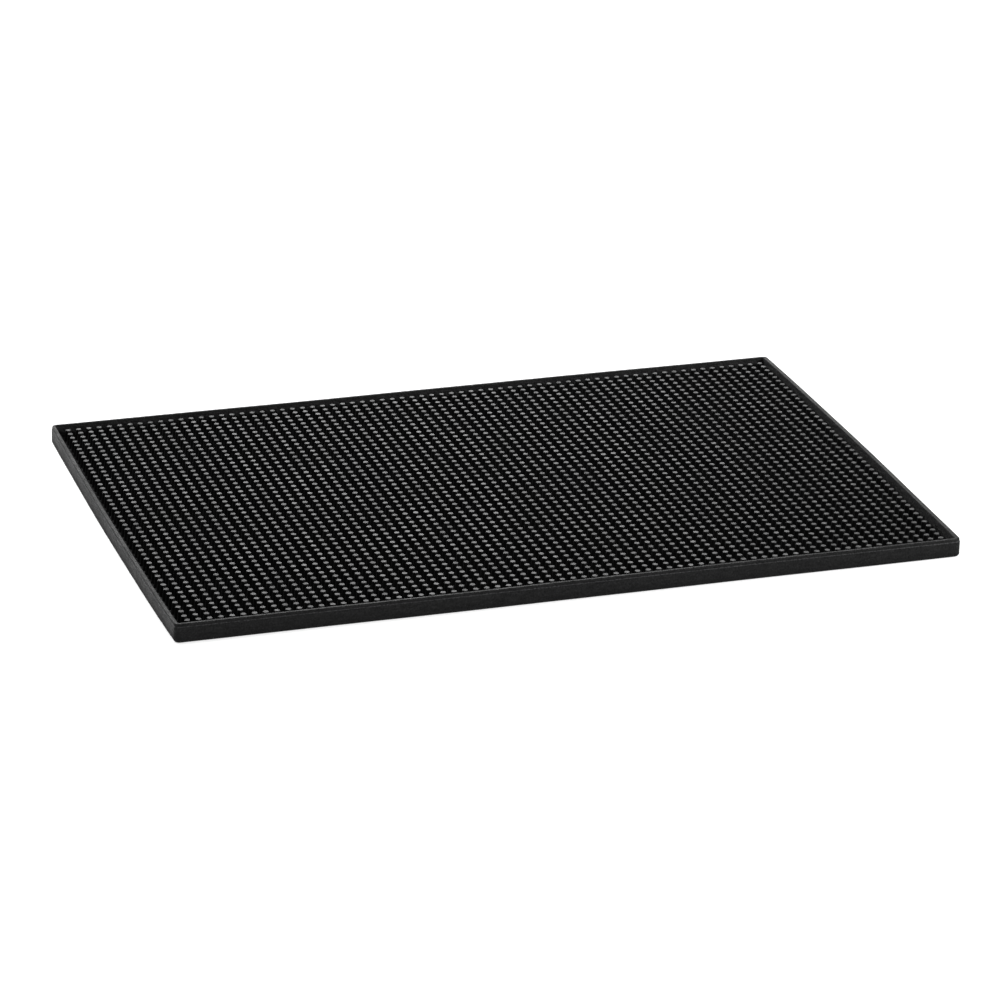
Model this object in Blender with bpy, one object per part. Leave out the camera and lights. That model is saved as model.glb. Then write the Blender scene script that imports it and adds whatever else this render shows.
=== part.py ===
"""Bar service mat: one rubber moulding with a raised rim round a field of nubs.

The mat lies flat on a counter.  +X runs along its length, +Y to its back
long side, +Z up, and the origin is the middle of its underside.

The real mat is a single moulding.  It is laid out here by region, as plain
solids with a 0.3 mm parting gap, so that each region collides as it should:

  base_web    the floor sheet of the mat, flat underneath
  nub_field   the nubs.  Each row of nubs is one rib of the nubs' own width,
              height and pitch, on a thin skin
  rim_front, rim_back, rim_left, rim_right
              the raised rim, mitred at the four corners
"""
import math

import bmesh
import bpy
from mathutils import Matrix, Vector

MM = 0.001

# ---------------------------------------------------------------- sizes
LENGTH = 450.0 * MM          # outside, along X
WIDTH = 300.0 * MM           # outside, along Y
HEIGHT = 11.0 * MM           # to the top of the rim

PITCH = 6.2 * MM             # nub spacing, the same both ways
COLUMNS = 71                 # nubs along X
ROWS = 47                    # nubs along Y
NUB_TOP = 3.3 * MM           # diameter of a nub's flat top
NUB_FOOT = 4.0 * MM          # diameter of a nub at its foot
NUB_LEVEL = 9.6 * MM         # height of the nub tops above the counter
FIELD_SHIFT = 0.8 * MM       # the nub grid sits off centre, towards +X

RIM_LAND = 3.0 * MM          # rim thickness at its top
RIM_FOOT = 4.5 * MM          # rim thickness at the level of the floor sheet
CORNER_R = 3.0 * MM          # upright corners of the mat
FOOT_R = 1.5 * MM            # outer bottom edge
TOP_R = 0.6 * MM             # outer top edge of the rim
EDGE_R = 0.8 * MM            # softened inner top edge of the rim

WEB = 3.0 * MM               # floor sheet
SKIN = 0.7 * MM              # sheet under the ribs
GAP = 0.3 * MM               # parting gap between two regions

FIELD_X = (COLUMNS - 1) / 2 * PITCH + NUB_TOP / 2
INNER_X = LENGTH / 2 - RIM_FOOT
INNER_Y = WIDTH / 2 - RIM_FOOT

# ---------------------------------------------------------------- scene
for old in list(bpy.data.objects):
    bpy.data.objects.remove(old, do_unlink=True)

parts = bpy.data.collections.new("bar_service_mat")
bpy.context.scene.collection.children.link(parts)
cutters = bpy.data.collections.new("cutters")
bpy.context.scene.collection.children.link(cutters)

origin = bpy.data.objects.new("mat_origin", None)
parts.objects.link(origin)


def material(name, colour, roughness):
    mat = bpy.data.materials.new(name)
    mat.use_nodes = True
    bsdf = next(n for n in mat.node_tree.nodes if n.type == "BSDF_PRINCIPLED")
    bsdf.inputs["Base Color"].default_value = (*colour, 1.0)
    bsdf.inputs["Roughness"].default_value = roughness
    bsdf.inputs["Metallic"].default_value = 0.0
    mat.diffuse_color = (*colour, 1.0)
    return mat


def add_part(name, data, mat):
    obj = bpy.data.objects.new(name, data)
    data.materials.clear()
    data.materials.append(mat)
    parts.objects.link(obj)
    obj.parent = origin
    return obj


def add_cutter(name, data):
    obj = bpy.data.objects.new(name, data)
    cutters.objects.link(obj)
    obj.hide_render = True
    obj.display_type = "WIRE"
    return obj


def taper_block(name, half_low, z_low, half_high, z_high):
    """A block whose four sides lean from one rectangle to another."""
    bm = bmesh.new()
    bmesh.ops.create_cube(bm, size=2.0)
    for v in bm.verts:
        half, z = (half_high, z_high) if v.co.z > 0 else (half_low, z_low)
        v.co = Vector((v.co.x * half[0], v.co.y * half[1], z))
    data = bpy.data.meshes.new(name)
    bm.to_mesh(data)
    bm.free()
    return data


def cut(obj, tool, operation):
    mod = obj.modifiers.new(operation.lower() + "_" + tool.name, "BOOLEAN")
    mod.operation = operation
    mod.solver = "EXACT"
    mod.object = tool
    return mod


# ---------------------------------------------------------------- rim
def outer_block(name):
    """The mat's outside: upright corners, foot edge and top edge rounded."""
    bm = bmesh.new()
    bmesh.ops.create_cube(bm, size=1.0)
    bmesh.ops.scale(bm, vec=(LENGTH, WIDTH, HEIGHT), verts=bm.verts)
    bmesh.ops.translate(bm, vec=(0, 0, HEIGHT / 2), verts=bm.verts)
    upright = [e for e in bm.edges
               if abs(e.verts[0].co.z - e.verts[1].co.z) > HEIGHT / 2]
    bmesh.ops.bevel(bm, geom=upright, offset=CORNER_R, segments=5,
                    profile=0.5, affect="EDGES")
    for level, radius, steps in ((0.0, FOOT_R, 3), (HEIGHT, TOP_R, 3)):
        loop = [e for e in bm.edges
                if all(abs(v.co.z - level) < 1e-6 for v in e.verts)]
        bmesh.ops.bevel(bm, geom=loop, offset=radius, segments=steps,
                        profile=0.5, affect="EDGES")
    data = bpy.data.meshes.new(name)
    bm.to_mesh(data)
    bm.free()
    return data


# Room inside the rim: upright beside the floor sheet, leaning out above it,
# and a small chamfer where the wall meets the flat top.
well_low = add_cutter("well_low", taper_block(
    "well_low", (INNER_X, INNER_Y), -5 * MM, (INNER_X, INNER_Y), 20 * MM))
lean = (RIM_FOOT - RIM_LAND) / (HEIGHT - WEB)
past = 2.0 * MM
well_high = add_cutter("well_high", taper_block(
    "well_high",
    (INNER_X - past * lean, INNER_Y - past * lean), WEB - past,
    (LENGTH / 2 - RIM_LAND + past * lean, WIDTH / 2 - RIM_LAND + past * lean),
    HEIGHT + past))
well_edge = add_cutter("well_edge", taper_block(
    "well_edge",
    (LENGTH / 2 - RIM_LAND - 2 * EDGE_R, WIDTH / 2 - RIM_LAND - 2 * EDGE_R),
    HEIGHT - 2.6 * EDGE_R,
    (LENGTH / 2 - RIM_LAND + 1.6 * EDGE_R, WIDTH / 2 - RIM_LAND + 1.6 * EDGE_R),
    HEIGHT + EDGE_R))


def mitre(name, along_x, sign):
    """The quarter of the plan that holds one side, short of both mitres."""
    reach = 20.0 * MM                      # how far past and inside the rim
    inset = GAP / 2 * math.sqrt(2.0)
    long_half = (LENGTH if along_x else WIDTH) / 2
    deep_half = (WIDTH if along_x else LENGTH) / 2
    bm = bmesh.new()
    bmesh.ops.create_cube(bm, size=2.0)
    for v in bm.verts:
        outward = v.co.y > 0
        across = deep_half + reach if outward else deep_half - reach
        along = long_half + (reach if outward else -reach) - inset
        v.co = Vector((v.co.x * along, across, v.co.z * 30 * MM))
    turn = {(True, 1): 0.0, (False, -1): 90.0, (True, -1): 180.0,
            (False, 1): 270.0}[(along_x, sign)]
    bmesh.ops.rotate(bm, cent=(0, 0, 0), verts=bm.verts,
                     matrix=Matrix.Rotation(math.radians(turn), 3, "Z"))
    data = bpy.data.meshes.new(name)
    bm.to_mesh(data)
    bm.free()
    return data


rim_rubber = {
    "rim_front": (True, -1, (0.021, 0.021, 0.022)),
    "rim_back": (True, 1, (0.024, 0.024, 0.025)),
    "rim_left": (False, -1, (0.026, 0.026, 0.027)),
    "rim_right": (False, 1, (0.023, 0.023, 0.024)),
}
for name, (along_x, sign, colour) in rim_rubber.items():
    side = add_part(name, outer_block(name), material(name, colour, 0.5))
    cut(side, well_low, "DIFFERENCE")
    cut(side, well_high, "DIFFERENCE")
    cut(side, well_edge, "DIFFERENCE")
    cut(side, add_cutter("mitre_" + name, mitre("mitre_" + name, along_x, sign)),
        "INTERSECT")

# ---------------------------------------------------------------- floor sheet
web = taper_block("base_web", (INNER_X - GAP, INNER_Y - GAP), 0.0,
                  (INNER_X - GAP, INNER_Y - GAP), WEB)
add_part("base_web", web, material("base_web", (0.018, 0.018, 0.019), 0.7))

# ---------------------------------------------------------------- nub field
# The outline is the end view of the field, ribs upwards, drawn in a plane and
# extruded to both sides; it is then stood up so that the ribs run along X.
curve = bpy.data.curves.new("nub_field", "CURVE")
curve.dimensions = "2D"
curve.fill_mode = "BOTH"
curve.extrude = FIELD_X
low = WEB + GAP
floor = low + SKIN
outline = []
for row in range(ROWS):
    y = (row - (ROWS - 1) / 2) * PITCH
    outline += [(y - NUB_FOOT / 2, floor), (y - NUB_TOP / 2, NUB_LEVEL),
                (y + NUB_TOP / 2, NUB_LEVEL), (y + NUB_FOOT / 2, floor)]
outline += [(outline[-1][0], low), (outline[0][0], low)]
spline = curve.splines.new("POLY")
spline.points.add(len(outline) - 1)
for point, (y, z) in zip(spline.points, outline):
    point.co = (y, z, 0.0, 1.0)
spline.use_cyclic_u = True
field = add_part("nub_field", curve, material("nub_field", (0.03, 0.03, 0.031), 0.45))
# drawn x -> world Y, drawn y -> world Z, extrusion -> world X
field.location.x = FIELD_SHIFT
field.rotation_euler = (math.radians(90.0), 0.0, math.radians(90.0))
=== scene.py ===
"""Looks for the bar service mat: the whole moulding, built at its CAD place.

The tray (floor sheet and rim) is one closed surface swept from its cross
section, and all 3337 nubs are turned forms standing in its floor sheet.
"""

import math

import bmesh
import bpy
import numpy as np
from mathutils import Matrix, Vector


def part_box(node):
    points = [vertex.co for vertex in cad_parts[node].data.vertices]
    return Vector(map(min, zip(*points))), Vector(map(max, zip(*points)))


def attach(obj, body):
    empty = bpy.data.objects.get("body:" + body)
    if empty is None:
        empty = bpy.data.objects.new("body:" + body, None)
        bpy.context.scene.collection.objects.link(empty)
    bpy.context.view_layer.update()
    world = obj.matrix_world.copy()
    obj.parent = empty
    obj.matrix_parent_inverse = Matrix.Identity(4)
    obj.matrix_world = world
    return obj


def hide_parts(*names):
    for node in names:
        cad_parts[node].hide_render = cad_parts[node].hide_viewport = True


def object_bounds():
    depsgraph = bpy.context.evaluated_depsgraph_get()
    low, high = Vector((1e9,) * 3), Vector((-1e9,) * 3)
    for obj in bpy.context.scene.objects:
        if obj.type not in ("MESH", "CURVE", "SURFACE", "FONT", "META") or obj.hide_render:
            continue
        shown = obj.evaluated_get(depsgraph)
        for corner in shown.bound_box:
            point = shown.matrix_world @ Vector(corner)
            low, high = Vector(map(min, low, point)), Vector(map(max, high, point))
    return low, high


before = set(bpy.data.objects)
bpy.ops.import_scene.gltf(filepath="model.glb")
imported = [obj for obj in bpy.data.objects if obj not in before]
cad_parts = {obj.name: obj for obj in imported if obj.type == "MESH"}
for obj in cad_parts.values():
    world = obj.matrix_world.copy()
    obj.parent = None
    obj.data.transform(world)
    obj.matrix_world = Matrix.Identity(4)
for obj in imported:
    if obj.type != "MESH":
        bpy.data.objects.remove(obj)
cad_low, cad_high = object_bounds()
MM = 0.001

# ------------------------------------------------------------------ places
# The mat's size, nub field and nub level below come from the imported CAD nodes; the nub count and the
# section sizes are given here.
field_low, field_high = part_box("nub_field")
LENGTH = cad_high.x - cad_low.x
WIDTH = cad_high.y - cad_low.y
HEIGHT = cad_high.z - cad_low.z
NUB_LEVEL = field_high.z
COLUMNS, ROWS = 71, 47
NUB_TOP_R = 1.65 * MM
PITCH = (field_high.x - field_low.x - 2 * NUB_TOP_R) / (COLUMNS - 1)
FIELD_X = (field_low.x + field_high.x) / 2
FIELD_Y = (field_low.y + field_high.y) / 2
FLOOR = 3.2 * MM
TOP_R = 0.6 * MM
FOOT = 4.5 * MM
CORNER_R = 3.0 * MM

rng = np.random.default_rng(4731)


# ------------------------------------------------------------------ rubber's lie
# A soft mat never lies dead straight: its short sides bow by about a millimetre
# and all sides wander by a few tenths.  The same drift moves the tray and the nubs in it.
def drift(co):
    x, y, z = co[:, 0], co[:, 1], co[:, 2]
    u, v = x / (LENGTH / 2), y / (WIDTH / 2)
    out = co.copy()
    out[:, 0] += (0.3 - 1.5 * u) * v * v * MM
    out[:, 0] += 0.12 * MM * np.sin(21.0 * y + 0.7) + 0.07 * MM * np.sin(47.0 * y + 11.0 * x)
    out[:, 1] += 0.14 * MM * np.sin(23.0 * x - 0.4) + 0.08 * MM * np.sin(51.0 * x + 2.1)
    high = np.clip(z / HEIGHT, 0.0, 1.0)
    out[:, 2] += high * 0.06 * MM * (np.sin(17.0 * x + 3.0 * y) + np.sin(14.0 * y - 6.0 * x + 1.3))
    return out


def mesh_object(name, verts, loops, starts, totals, smooth=True):
    mesh = bpy.data.meshes.new(name)
    mesh.vertices.add(len(verts))
    mesh.vertices.foreach_set("co", np.ascontiguousarray(verts, np.float32).ravel())
    mesh.loops.add(len(loops))
    mesh.loops.foreach_set("vertex_index", np.ascontiguousarray(loops, np.int32))
    mesh.polygons.add(len(starts))
    mesh.polygons.foreach_set("loop_start", np.ascontiguousarray(starts, np.int32))
    mesh.polygons.foreach_set("loop_total", np.ascontiguousarray(totals, np.int32))
    mesh.polygons.foreach_set("use_smooth", np.full(len(starts), smooth))
    mesh.update(calc_edges=True)
    mesh.validate()
    obj = bpy.data.objects.new(name, mesh)
    bpy.context.scene.collection.objects.link(obj)
    return obj


def point_value(mesh, name, values):
    layer = mesh.attributes.new(name, "FLOAT", "POINT")
    layer.data.foreach_set("value", np.ascontiguousarray(values, np.float32))


# ------------------------------------------------------------------ materials
def node(nt, kind, **inputs):
    n = nt.nodes.new(kind)
    for key, value in inputs.items():
        if key in n.inputs:
            n.inputs[key].default_value = value
        else:
            setattr(n, key, value)
    return n


def ramp(nt, source, low, high, out_low, out_high):
    r = nt.nodes.new("ShaderNodeMapRange")
    r.inputs["From Min"].default_value = low
    r.inputs["From Max"].default_value = high
    r.inputs["To Min"].default_value = out_low
    r.inputs["To Max"].default_value = out_high
    nt.links.new(source, r.inputs["Value"])
    return r.outputs["Result"]


def math_node(nt, op, a, b):
    m = nt.nodes.new("ShaderNodeMath")
    m.operation = op
    for socket, value in zip(m.inputs, (a, b)):
        if isinstance(value, (int, float)):
            socket.default_value = value
        else:
            nt.links.new(value, socket)
    return m.outputs[0]


def noise(nt, coords, scale, detail=3.0, roughness=0.55):
    n = nt.nodes.new("ShaderNodeTexNoise")
    n.inputs["Scale"].default_value = scale
    n.inputs["Detail"].default_value = detail
    n.inputs["Roughness"].default_value = roughness
    nt.links.new(coords, n.inputs["Vector"])
    return n.outputs["Fac"]


def rubber(name, base, rough, polish, mottle, flow_mm, mottle_mm, grain_mm, spec, wear_and_highlight_to, foot):
    """Black moulded rubber: cloudy bloom, pitted grain, paler scuffed edges, which on the tray's parting
    step are pushed into a painted highlight line.
    """
    mat = bpy.data.materials.new(name)
    mat.use_nodes = True
    nt = mat.node_tree
    nt.nodes.clear()
    out = nt.nodes.new("ShaderNodeOutputMaterial")
    bsdf = nt.nodes.new("ShaderNodeBsdfPrincipled")
    nt.links.new(bsdf.outputs["BSDF"], out.inputs["Surface"])
    co = nt.nodes.new("ShaderNodeTexCoord").outputs["Object"]

    cloud = noise(nt, co, 55.0, 4.0, 0.6)          # patches of about 2 cm
    fleck = noise(nt, co, 900.0, 2.0, 0.5)         # specks of about 1 mm
    flat = nt.nodes.new("ShaderNodeVectorMath")    # flow marks lie along the walls
    flat.operation = "MULTIPLY"
    nt.links.new(co, flat.inputs[0])
    flat.inputs[1].default_value = (0.25, 0.25, 1.0)
    smear = noise(nt, flat.outputs["Vector"], 700.0, 3.0, 0.6)
    grain = noise(nt, co, 2600.0, 2.0, 0.6)        # the mould's own texture
    pull = noise(nt, co, 160.0, 2.0, 0.5)          # slow unevenness, about 6 mm

    wear_and_highlight = nt.nodes.new("ShaderNodeAttribute")
    wear_and_highlight.attribute_name = "wear_and_highlight"
    each = nt.nodes.new("ShaderNodeAttribute")
    each.attribute_name = "each"

    # colour
    tone = math_node(nt, "MULTIPLY", ramp(nt, cloud, 0.3, 0.7, 0.8, 1.25),
                     ramp(nt, fleck, 0.3, 0.7, 0.85, 1.2))
    tone = math_node(nt, "MULTIPLY", tone, ramp(nt, each.outputs["Fac"], 0.0, 1.0, 0.85, 1.15))
    # worn edges are lighter in colour; where the value runs above 1, on the tray's parting step, this
    # lightening is a painted highlight line
    worn_and_highlight = math_node(nt, "MULTIPLY", wear_and_highlight.outputs["Fac"], ramp(nt, fleck, 0.35, 0.62, 0.35, 1.0))
    value = math_node(nt, "ADD", math_node(nt, "MULTIPLY", tone, base),
                      math_node(nt, "MULTIPLY", worn_and_highlight, wear_and_highlight_to))
    grey = nt.nodes.new("ShaderNodeCombineColor")
    nt.links.new(value, grey.inputs[0])
    nt.links.new(value, grey.inputs[1])
    nt.links.new(math_node(nt, "MULTIPLY", value, 1.03), grey.inputs[2])
    nt.links.new(grey.outputs[0], bsdf.inputs["Base Color"])

    # gloss
    gloss = math_node(nt, "ADD", ramp(nt, cloud, 0.3, 0.7, rough - 0.05, rough + 0.06),
                      ramp(nt, fleck, 0.3, 0.7, -0.04, 0.05))
    gloss = math_node(nt, "ADD", gloss, math_node(
        nt, "MULTIPLY", math_node(nt, "MINIMUM", wear_and_highlight.outputs["Fac"], 1.0), -polish))
    # the lowest millimetres are duller, where the mat meets the counter
    height = nt.nodes.new("ShaderNodeSeparateXYZ")
    nt.links.new(co, height.inputs[0])
    gloss = math_node(nt, "ADD", gloss, ramp(nt, height.outputs[2], 0.0, 6.0 * MM, foot, 0.0))
    nt.links.new(gloss, bsdf.inputs["Roughness"])
    sheen = math_node(nt, "MULTIPLY", ramp(nt, fleck, 0.3, 0.7, 1.0 - mottle, 1.0 + mottle),
                      ramp(nt, smear, 0.3, 0.7, 1.0 - mottle, 1.0 + mottle))
    nt.links.new(math_node(nt, "MULTIPLY", sheen, spec), bsdf.inputs["Specular IOR Level"])

    # relief
    soft = nt.nodes.new("ShaderNodeBump")
    soft.inputs["Strength"].default_value = 1.0
    soft.inputs["Distance"].default_value = 0.10 * MM
    nt.links.new(pull, soft.inputs["Height"])
    marks = nt.nodes.new("ShaderNodeBump")
    marks.inputs["Strength"].default_value = 1.0
    marks.inputs["Distance"].default_value = flow_mm * MM
    nt.links.new(smear, marks.inputs["Height"])
    nt.links.new(soft.outputs["Normal"], marks.inputs["Normal"])
    uneven = nt.nodes.new("ShaderNodeBump")
    uneven.inputs["Strength"].default_value = 1.0
    uneven.inputs["Distance"].default_value = mottle_mm * MM
    nt.links.new(fleck, uneven.inputs["Height"])
    nt.links.new(marks.outputs["Normal"], uneven.inputs["Normal"])
    pits = nt.nodes.new("ShaderNodeBump")
    pits.inputs["Strength"].default_value = 1.0
    pits.inputs["Distance"].default_value = grain_mm * MM
    nt.links.new(grain, pits.inputs["Height"])
    nt.links.new(uneven.outputs["Normal"], pits.inputs["Normal"])
    nt.links.new(pits.outputs["Normal"], bsdf.inputs["Normal"])
    return mat


tray_rubber = rubber("moulded_rubber_tray", 0.0042, 0.57, 0.10, 0.30, 0.45, 0.36, 0.025, 0.118, 0.006, 0.30)
nub_rubber = rubber("moulded_rubber_nubs", 0.0036, 0.40, 0.02, 0.10, 0.01, 0.010, 0.015, 0.099, 0.006, 0.0)


# ------------------------------------------------------------------ tray
def arc(cx, cz, r, a0, a1, steps):
    """Points on an arc in the section, from a0 to a1 degrees."""
    return [(cx + r * math.cos(math.radians(a0 + (a1 - a0) * k / steps)),
             cz + r * math.sin(math.radians(a0 + (a1 - a0) * k / steps)))
            for k in range(steps + 1)]


def tray():
    # Section of the rim.  First number: distance in from the outer wall.
    # Second: height.  Third: radius of the upright corner there.  Last: wear, which on the parting step is
    # raised above 1 to paint a highlight line.
    foot_r, fillet, out, step, crest, soft_r = 1.5, 1.3, -0.20, 0.34, 1.80, 0.25
    h, floor, foot, corner = (v / MM for v in (HEIGHT, FLOOR, FOOT, CORNER_R))
    out_r = TOP_R / MM
    section = [(9.0, 0.0, 3.0, 0.0), (5.0, 0.0, 2.0, 0.0)]
    for d, z in arc(foot_r, foot_r, foot_r, 270, 180, 6):
        section.append((d + out * z / foot_r, z, corner - 0.9 * d, 0.2))
    for z in (1.9, 2.8, 4.0, 5.2, 6.4, 7.6, 8.4):
        section.append((out, z, corner, 0.0))
    # the mould's parting step, a bevel about 2 mm below the top, partly scuffed; its wear values of up to 4
    # lighten it further into a painted highlight line
    seam = h - 1.75
    for d, z, worn_and_highlight in ((0.0, -0.32, 0.0), (0.02, -0.22, 2.0), (0.06, -0.16, 4.0), (0.17, -0.03, 4.0),
                       (step - 0.06, 0.10, 4.0), (step - 0.02, 0.16, 2.0), (step, 0.26, 0.0),
                       (step, 0.45, 0.0), (step, 0.8, 0.0)):
        section.append((out + d, seam + z, corner - d, worn_and_highlight))
    for d, z in arc(out + step + out_r, h - out_r, out_r, 180, 90, 6):
        section.append((d, z, corner - d, 0.0 if z < h - 0.25 else 0.6))
    for d in (1.05, 1.35, 1.62):
        section.append((d, h + 0.008, max(corner - 0.9 * d, 1.1), 0.5))
    # a small rounding, then the inner wall, which leans in to the rim's foot
    lean = math.degrees(math.atan2(foot - crest - soft_r, h - floor))
    for d, z in arc(crest, h - soft_r, soft_r, 90, lean, 6):
        section.append((d, z, 1.2, 0.6 if z > h - 0.15 else 0.2))
    slope = (foot - section[-1][0]) / (section[-1][1] - floor)
    d0, z0 = section[-1][:2]
    for z in (9.6, 8.6, 7.4, 6.2, 5.2):
        section.append((d0 + (z0 - z) * slope, z, 1.4, 0.0))
    # fillet at the wall's foot, from the leaning wall to the floor
    cz = floor + fillet
    cx = d0 + (z0 - cz) * slope + fillet / math.cos(math.radians(lean))
    for d, z in arc(cx, cz, fillet, 180 + lean, 270, 6):
        section.append((d, z, 1.7, 0.0))
    section.append((section[-1][0] + 0.25, floor, 1.8, 0.0))

    nx, ny, nc = 120, 80, 8
    rings, wear_and_highlight_rings = [], []
    for d, z, r, wear_and_highlight in section:
        hx, hy = LENGTH / 2 - d * MM, WIDTH / 2 - d * MM
        r *= MM
        ring = []
        corners = [(hx, -hy, -90), (hx, hy, 0), (-hx, hy, 90), (-hx, -hy, 180)]
        # each corner's arc, then the straight run to the next corner
        for k, (x, y, a0) in enumerate(corners):
            cx_, cy_ = x - math.copysign(r, x), y - math.copysign(r, y)
            for s in range(nc + 1):
                a = math.radians(a0 + 90 * s / nc)
                ring.append((cx_ + r * math.cos(a), cy_ + r * math.sin(a)))
            x2, y2, b0 = corners[(k + 1) % 4]
            ex, ey = x2 - math.copysign(r, x2), y2 - math.copysign(r, y2)
            b = math.radians(b0)
            start, end = ring[-1], (ex + r * math.cos(b), ey + r * math.sin(b))
            n = ny if k % 2 == 0 else nx
            for s in range(1, n):
                t = s / n
                ring.append((start[0] + (end[0] - start[0]) * t,
                             start[1] + (end[1] - start[1]) * t))
        rings.append([(px, py, z * MM) for px, py in ring])
        wear_and_highlight_rings.append([wear_and_highlight] * len(ring))
    count = len(rings[0])
    verts = np.array(rings).reshape(-1, 3)
    wear_and_highlight = np.array(wear_and_highlight_rings).ravel()
    quads = []
    for k in range(len(rings) - 1):
        a, b = k * count, (k + 1) * count
        i = np.arange(count)
        j = (i + 1) % count
        quads.append(np.stack([a + i, a + j, b + j, b + i], -1))

    # The floor and the underside are grids stretched over their edge rings.
    def patch(ring_index, flip):
        nonlocal verts, wear_and_highlight
        base = ring_index * count
        half = nc // 2
        side = [ny + nc, nx + nc, ny + nc, nx + nc]
        pos = half                      # ring index of the first logical corner
        runs = []
        for n in side:
            runs.append([(pos + s) % count for s in range(n + 1)])
            pos += n
        right, top, left, bottom = runs   # right goes up, top goes left, ...
        pts = verts[base:base + count]
        rt = pts[right]; tp = pts[top][::-1]; lf = pts[left][::-1]; bt = pts[bottom]
        u = np.linspace(0, 1, nx + nc + 1)[None, :, None]
        v = np.linspace(0, 1, ny + nc + 1)[:, None, None]
        c00, c10, c01, c11 = bt[0], bt[-1], tp[0], tp[-1]
        grid = ((1 - v) * bt[None] + v * tp[None] + (1 - u) * lf[:, None] + u * rt[:, None]
                - ((1 - u) * (1 - v) * c00 + u * (1 - v) * c10 + (1 - u) * v * c01 + u * v * c11))
        index = -np.ones(grid.shape[:2], int)
        index[0, :] = [base + k for k in bottom]
        index[-1, :] = [base + k for k in top][::-1]
        index[:, -1] = [base + k for k in right]
        index[:, 0] = [base + k for k in left][::-1]
        inner = grid[1:-1, 1:-1].reshape(-1, 3)
        index[1:-1, 1:-1] = len(verts) + np.arange(len(inner)).reshape(ny + nc - 1, nx + nc - 1)
        verts = np.vstack([verts, inner])
        wear_and_highlight = np.concatenate([wear_and_highlight, np.zeros(len(inner))])
        q = np.stack([index[:-1, :-1], index[:-1, 1:], index[1:, 1:], index[1:, :-1]], -1).reshape(-1, 4)
        quads.append(q[:, ::-1] if flip else q)

    patch(len(rings) - 1, False)
    patch(0, True)
    faces = np.vstack(quads)

    # The parting step is deeper in some places than in others.
    ledge = (np.abs(verts[:, 2] / MM - seam) < 0.18) & (
        np.maximum(np.abs(verts[:, 0]) - LENGTH / 2, np.abs(verts[:, 1]) - WIDTH / 2) > -0.4 * MM)
    run = verts[:, 0] * 1.3 - verts[:, 1]
    verts[ledge, 2] += (0.04 * np.sin(run * 31.0 + 0.4) + 0.03 * np.sin(run * 97.0))[ledge] * MM

    # On the right the top of the rim is 0.8 mm wider than elsewhere, and that
    # side of the rim stands a little further out towards the front.
    depth = LENGTH / 2 - verts[:, 0]
    inner = (depth > 1.7 * MM) & (depth < 4.45 * MM) & (verts[:, 2] > FLOOR)
    verts[inner, 0] -= 0.8 * MM * (verts[inner, 2] - FLOOR) / (HEIGHT - FLOOR)
    side = np.clip((verts[:, 0] - LENGTH / 2 + 5.2 * MM) / (1.0 * MM), 0, 1)
    verts[:, 0] += side * 1.9 * MM * (0.5 - verts[:, 1] / WIDTH)

    # The trimmed lower edge wavers a little along its length.
    low = np.clip(1 - np.abs(verts[:, 2] - 0.7 * MM) / (1.2 * MM), 0, 1)
    edge = np.maximum(np.abs(verts[:, 0]) - LENGTH / 2, np.abs(verts[:, 1]) - WIDTH / 2) > -1.6 * MM
    run = verts[:, 0] * 1.0 + verts[:, 1] * 1.7
    waver = np.sin(run * 410.0) * 0.5 + np.sin(run * 187.0 + 1.0) * 0.7 + np.sin(run * 733.0 + 2.0) * 0.3
    scale = 1 - low * edge * (0.05 + 0.05 * waver) * MM / 0.2
    verts[:, :2] *= scale[:, None]

    verts = drift(verts)
    obj = mesh_object("mat_tray", verts, faces.ravel(), np.arange(len(faces)) * 4,
                      np.full(len(faces), 4))
    point_value(obj.data, "wear_and_highlight", wear_and_highlight)
    point_value(obj.data, "each", np.full(len(verts), 0.5))
    obj.data.materials.append(tray_rubber)
    return obj


body = tray()
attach(body, "root")
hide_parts("base_web", "rim_front", "rim_back", "rim_left", "rim_right")


# ------------------------------------------------------------------ nubs
# Radius and height up one nub, and how worn it is there.
SEGMENTS = 16
NUB = np.array([
    (2.70, FLOOR / MM - 0.35, 0.0),
    (2.50, FLOOR / MM + 0.02, 0.0),
    (2.15, FLOOR / MM + 0.38, 0.0),
    (1.67, NUB_LEVEL / MM - 0.60, 0.0),
    (1.60, NUB_LEVEL / MM - 0.22, 0.3),
    (1.50, NUB_LEVEL / MM - 0.06, 0.8),
    (1.41, NUB_LEVEL / MM, 1.0),
    (1.35, NUB_LEVEL / MM, 1.0),
    (1.05, NUB_LEVEL / MM, 0.5),
])


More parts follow.
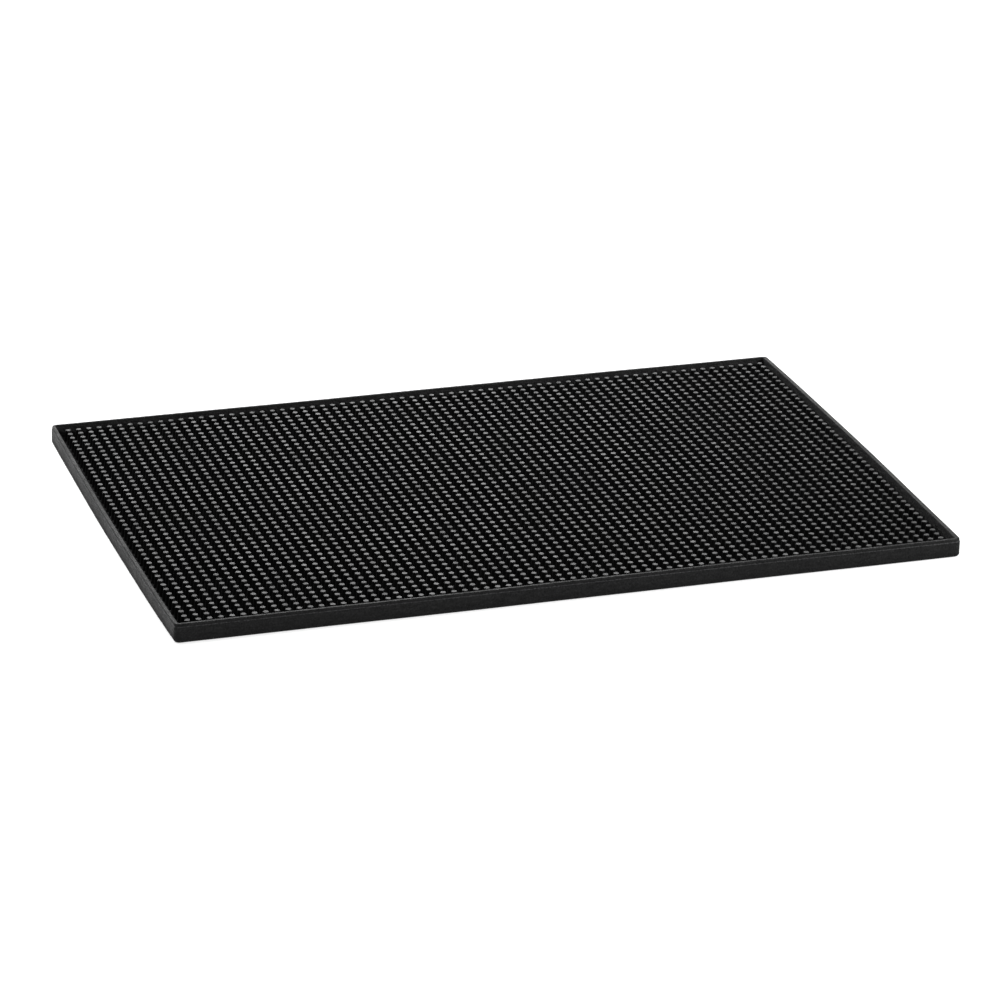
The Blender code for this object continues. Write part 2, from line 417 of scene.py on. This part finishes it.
def nub_rows(first, last):
    rows = np.arange(first, last)
    cx, cy = np.meshgrid(FIELD_X + (np.arange(COLUMNS) - (COLUMNS - 1) / 2) * PITCH,
                         FIELD_Y + (rows - (ROWS - 1) / 2) * PITCH)
    cx, cy = cx.ravel(), cy.ravel()
    n = len(cx)
    turn = rng.uniform(0, 2 * math.pi / SEGMENTS, n)
    size = rng.normal(1.0, 0.012, n)
    lift = rng.normal(0.0, 0.035 * MM, n)
    tilt = rng.normal(0.0, math.radians(0.7), (n, 2))
    each = rng.uniform(0, 1, n)
    levels = len(NUB)
    a = turn[:, None] + np.arange(SEGMENTS)[None] * 2 * math.pi / SEGMENTS
    r = NUB[:, 0] * MM
    top = (NUB[:, 1] * MM - FLOOR) / (NUB_LEVEL - FLOOR)       # 0 at the floor
    up = np.clip(top, 0, 1)
    rr = r[None, :, None] * (1 + (size[:, None, None] - 1) * up[None, :, None])
    x = rr * np.cos(a)[:, None, :]
    y = rr * np.sin(a)[:, None, :]
    z = (NUB[:, 1] * MM)[None, :, None] + lift[:, None, None] * up[None, :, None]
    z = z + (x * tilt[:, 0, None, None] + y * tilt[:, 1, None, None]) * up[None, :, None]
    verts = np.stack([x + cx[:, None, None], y + cy[:, None, None], z], -1).reshape(-1, 3)
    per = levels * SEGMENTS
    s = np.arange(SEGMENTS)
    s2 = (s + 1) % SEGMENTS
    side = np.concatenate([np.stack([k * SEGMENTS + s, k * SEGMENTS + s2,
                                     (k + 1) * SEGMENTS + s2, (k + 1) * SEGMENTS + s], -1)
                           for k in range(levels - 1)]).ravel()
    cap_top = (levels - 1) * SEGMENTS + s
    cap_low = s[::-1]
    one = np.concatenate([side, cap_top, cap_low])
    totals = np.concatenate([np.full((levels - 1) * SEGMENTS, 4), [SEGMENTS, SEGMENTS]])
    starts = np.concatenate([[0], np.cumsum(totals)[:-1]])
    loops = (one[None] + (np.arange(n) * per)[:, None]).ravel()
    all_starts = (starts[None] + (np.arange(n) * len(one))[:, None]).ravel()
    all_totals = np.tile(totals, n)
    # the last rows at the front lie a touch closer together
    verts[:, 1] += 0.5 * MM * np.clip((-verts[:, 1] / (WIDTH / 2) - 0.80) / 0.15, 0, 1)
    verts = drift(verts)
    obj = mesh_object("nub_rows_%02d_%02d" % (first + 1, last), verts, loops, all_starts, all_totals)
    wear_and_highlight = np.tile(np.repeat(NUB[:, 2], SEGMENTS), n)
    point_value(obj.data, "wear_and_highlight", wear_and_highlight)
    point_value(obj.data, "each", np.repeat(each, per))
    obj.data.materials.append(nub_rubber)
    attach(obj, "root")
    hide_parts("nub_field")
    return obj


for first in range(0, ROWS, 6):
    nub_rows(first, min(first + 6, ROWS))


# ------------------------------------------------------------------ studio
ground = bpy.data.meshes.new("ground")
bm = bmesh.new()
bmesh.ops.create_grid(bm, x_segments=2, y_segments=2, size=20.0)
bm.to_mesh(ground)
bm.free()
floor_obj = bpy.data.objects.new("studio_floor", ground)
floor_obj.location.z = -0.03 * MM
bpy.context.scene.collection.objects.link(floor_obj)
white = bpy.data.materials.new("pale_floor")
white.use_nodes = True
white_bsdf = next(n for n in white.node_tree.nodes if n.type == "BSDF_PRINCIPLED")
white_bsdf.inputs["Base Color"].default_value = (0.6, 0.6, 0.6, 1)
white_bsdf.inputs["Emission Color"].default_value = (1, 1, 1, 1)
white_bsdf.inputs["Emission Strength"].default_value = 0.57
white_bsdf.inputs["Roughness"].default_value = 1.0
white_bsdf.inputs["Specular IOR Level"].default_value = 0.0
# From below, the floor is left out, so that the mat's underside can be seen.
nt = white.node_tree
side_of = nt.nodes.new("ShaderNodeNewGeometry")
clear = nt.nodes.new("ShaderNodeBsdfTransparent")
pick = nt.nodes.new("ShaderNodeMixShader")
nt.links.new(side_of.outputs["Backfacing"], pick.inputs[0])
nt.links.new(white_bsdf.outputs["BSDF"], pick.inputs[1])
nt.links.new(clear.outputs["BSDF"], pick.inputs[2])
nt.links.new(pick.outputs[0], next(n for n in nt.nodes if n.type == "OUTPUT_MATERIAL").inputs["Surface"])
ground.materials.append(white)

world = bpy.data.worlds.new("studio")
bpy.context.scene.world = world
world.use_nodes = True
sky = next(n for n in world.node_tree.nodes if n.type == "BACKGROUND")
sky.inputs["Color"].default_value = (1, 1, 1, 1)
# The backdrop looks white, and lights the mat more softly than it looks.
ray = world.node_tree.nodes.new("ShaderNodeLightPath")
world.node_tree.links.new(ramp(world.node_tree, ray.outputs["Is Camera Ray"], 0.0, 1.0, 0.40, 1.0),
                          sky.inputs["Strength"])


def softbox(name, at, look, width, height, watts, roll=0.0):
    data = bpy.data.lights.new(name, "AREA")
    data.shape = "RECTANGLE"
    data.size, data.size_y = width, height
    data.energy = watts
    obj = bpy.data.objects.new(name, data)
    bpy.context.scene.collection.objects.link(obj)
    obj.location = at
    aim = (Vector(look) - Vector(at)).to_track_quat("-Z", "Y").to_matrix()
    obj.rotation_euler = (aim @ Matrix.Rotation(math.radians(roll), 3, "Z")).to_euler()
    obj.visible_camera = False
    return obj


softbox("back_softbox", (1.12, 3.6, 1.53), (0, 0, 0), 0.90, 1.9, 51.0, 40.0)
softbox("top_softbox", (-0.3, 0.4, 3.2), (0, 0, 0), 2.6, 2.2, 40.0)
softbox("left_softbox", (-0.72, 1.15, 0.75), (-0.42, 0.55, 0), 0.6, 0.5, 23.0)
softbox("right_fill", (1.10, -0.75, 0.55), (0.25, -0.30, 0), 0.6, 0.5, 18.0)

scene = bpy.context.scene
scene.view_settings.view_transform = "Standard"
scene.view_settings.look = "None"
scene.view_settings.exposure = 0.0
scene.view_settings.gamma = 1.0

cam_data = bpy.data.cameras.new("photo_view")
cam_data.sensor_width = 36.0
cam_data.lens = 164.225
cam_data.clip_start, cam_data.clip_end = 0.05, 100.0
cam = bpy.data.objects.new("photo_view", cam_data)
bpy.context.scene.collection.objects.link(cam)
cam.location = (-0.74677, -2.29189, 0.98805)
cam.rotation_euler = (math.radians(67.68700), math.radians(-1.05990), math.radians(-17.71931))
scene.camera = cam
